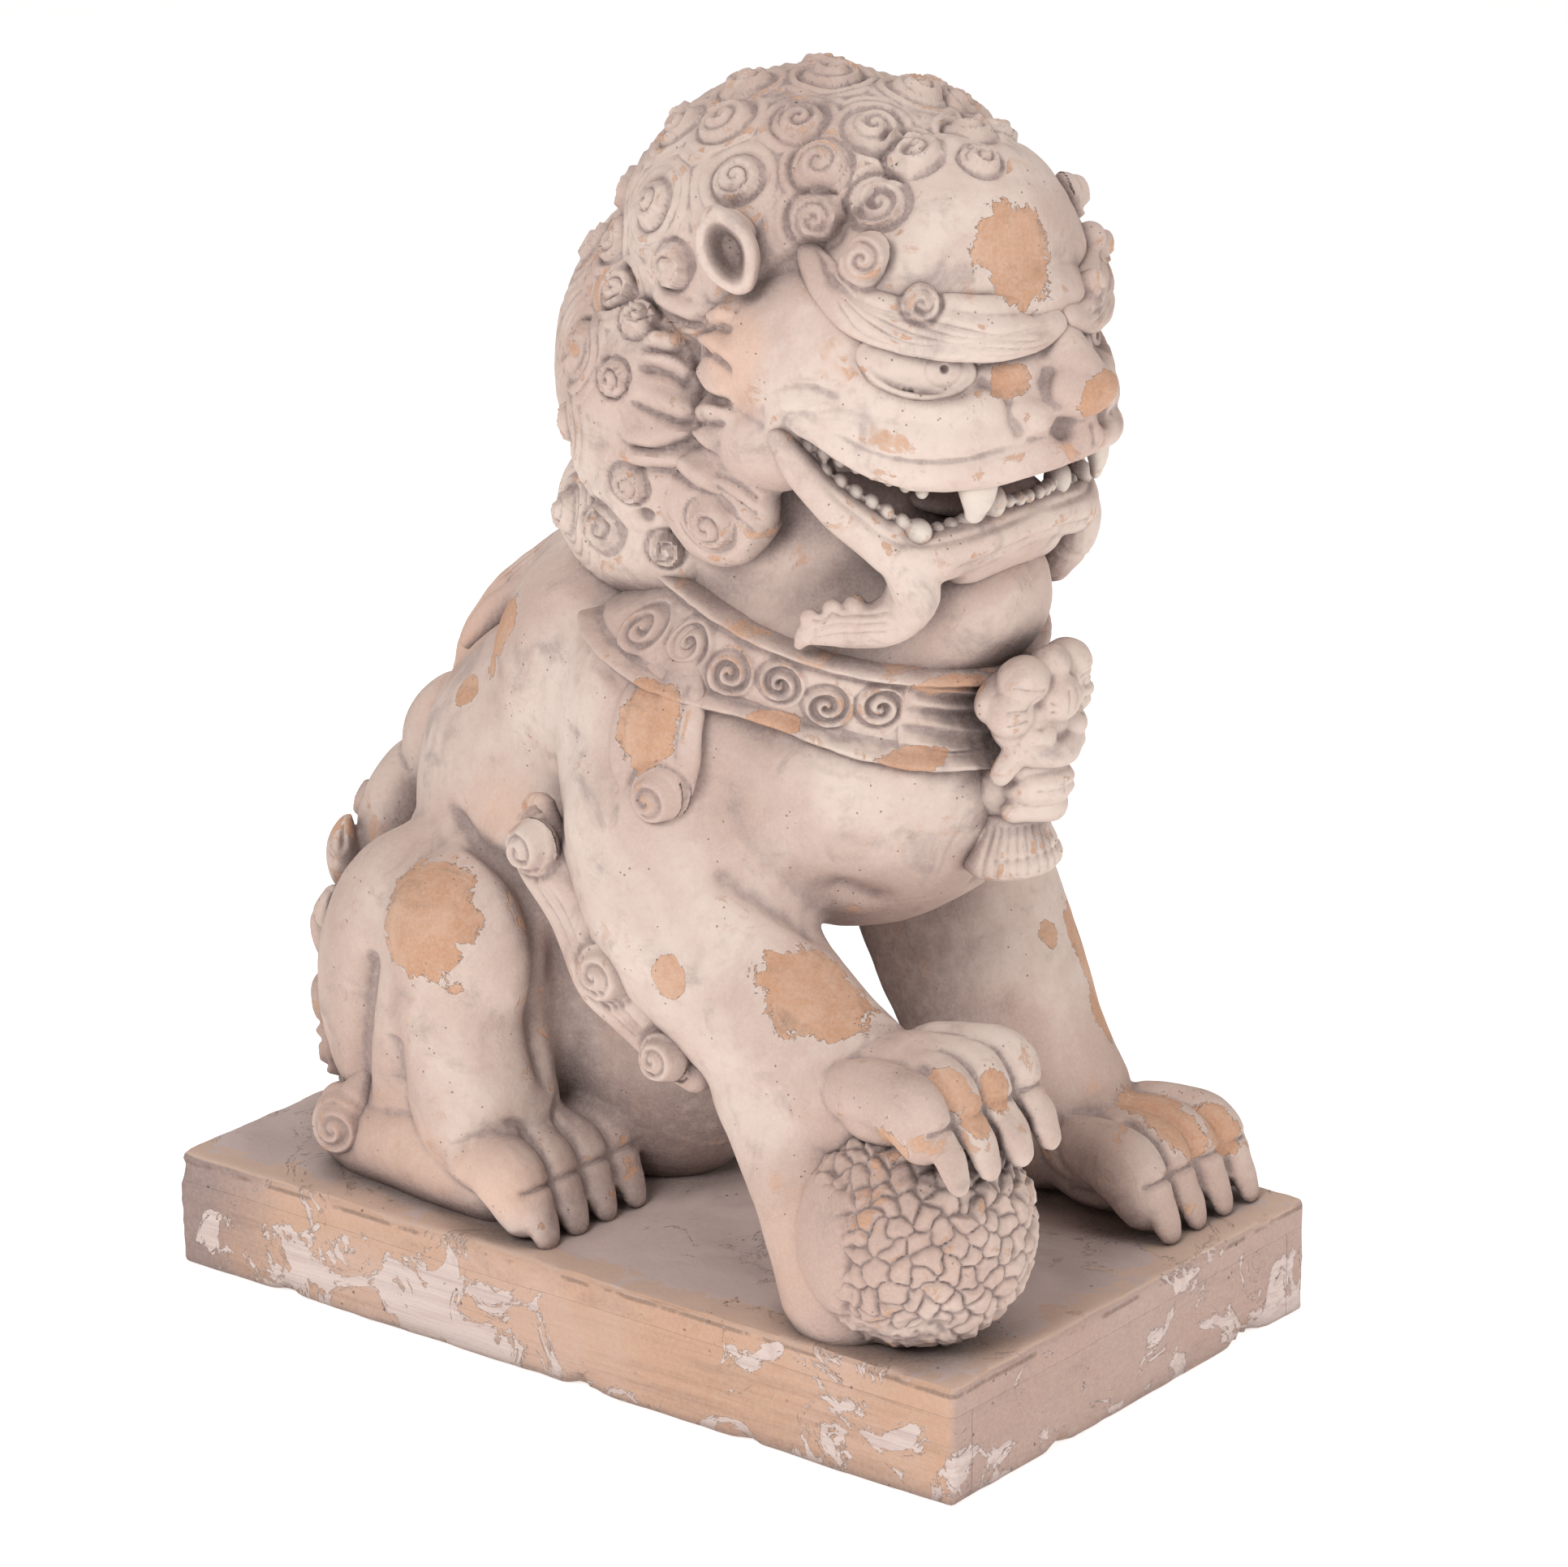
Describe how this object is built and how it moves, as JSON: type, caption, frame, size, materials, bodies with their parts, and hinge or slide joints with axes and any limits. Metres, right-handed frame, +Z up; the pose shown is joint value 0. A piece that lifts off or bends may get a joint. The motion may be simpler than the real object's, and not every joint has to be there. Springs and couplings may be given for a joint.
{
  "type": "foo dog statue",
  "caption": "Seated guardian lion garden statue in worn terracotta, one fore paw on a brocade ball, with collar and bell, on a rectangular plinth.",
  "frame": {"origin": "middle of the plinth's footprint at ground level, on the lower edge of the cross rib", "axes": "+Z up, the lion faces -Y, its own right side is -X"},
  "size_m": [0.312, 0.4889, 0.6339],
  "materials": {
    "pink_slip": "matt, worn pinkish-white slip over fired clay",
    "bare_terracotta": "matt bare orange terracotta with patches of slip",
    "hair_slip": "matt slip, grey-mauve in the grooves",
    "tooth_slip": "matt pale slip",
    "mouth_clay": "matt dark clay"
  },
  "bodies": {
    "root": {"beard_lock_left": "hair_slip", "beard_lock_right": "hair_slip", "bell_tassel": "hair_slip", "belly_section": "pink_slip", "brocade_ball": "bare_terracotta", "brow_left": "hair_slip", "brow_right": "hair_slip", "chest_section": "pink_slip", "collar_band": "hair_slip", "collar_bell": "bare_terracotta", "collar_bow": "hair_slip", "ear_left": "pink_slip", "ear_right": "pink_slip", "elbow_fringe_left": "hair_slip", "elbow_fringe_right": "hair_slip", "eye_left": "tooth_slip", "eye_right": "tooth_slip", "fang_lower_left": "tooth_slip", "fang_lower_right": "tooth_slip", "fang_upper_left": "tooth_slip", "fang_upper_right": "tooth_slip", "fore_paw_left": "pink_slip", "fore_paw_right": "pink_slip", "foreleg_left": "pink_slip", "foreleg_right": "pink_slip", "haunch_section": "pink_slip", "head_section": "pink_slip", "hind_leg_left": "pink_slip", "hind_leg_right": "pink_slip", "hind_paw_left": "pink_slip", "hind_paw_right": "pink_slip", "hock_lock_left": "hair_slip", "hock_lock_right": "hair_slip", "lower_jaw": "pink_slip", "mane_crown": "hair_slip", "mane_nape": "hair_slip", "mane_side_left": "hair_slip", "mane_side_right": "hair_slip", "molars_upper_left": "tooth_slip", "molars_upper_right": "tooth_slip", "neck_section": "pink_slip", "nose": "bare_terracotta", "plinth_deck": "pink_slip", "plinth_rib": "bare_terracotta", "plinth_wall_back": "bare_terracotta", "plinth_wall_front": "bare_terracotta", "plinth_wall_left": "bare_terracotta", "plinth_wall_right": "bare_terracotta", "shoulder_lock_left": "hair_slip", "shoulder_lock_right": "hair_slip", "spine_lock": "hair_slip", "tail": "hair_slip", "tongue": "mouth_clay"}
  },
  "joints": []
}
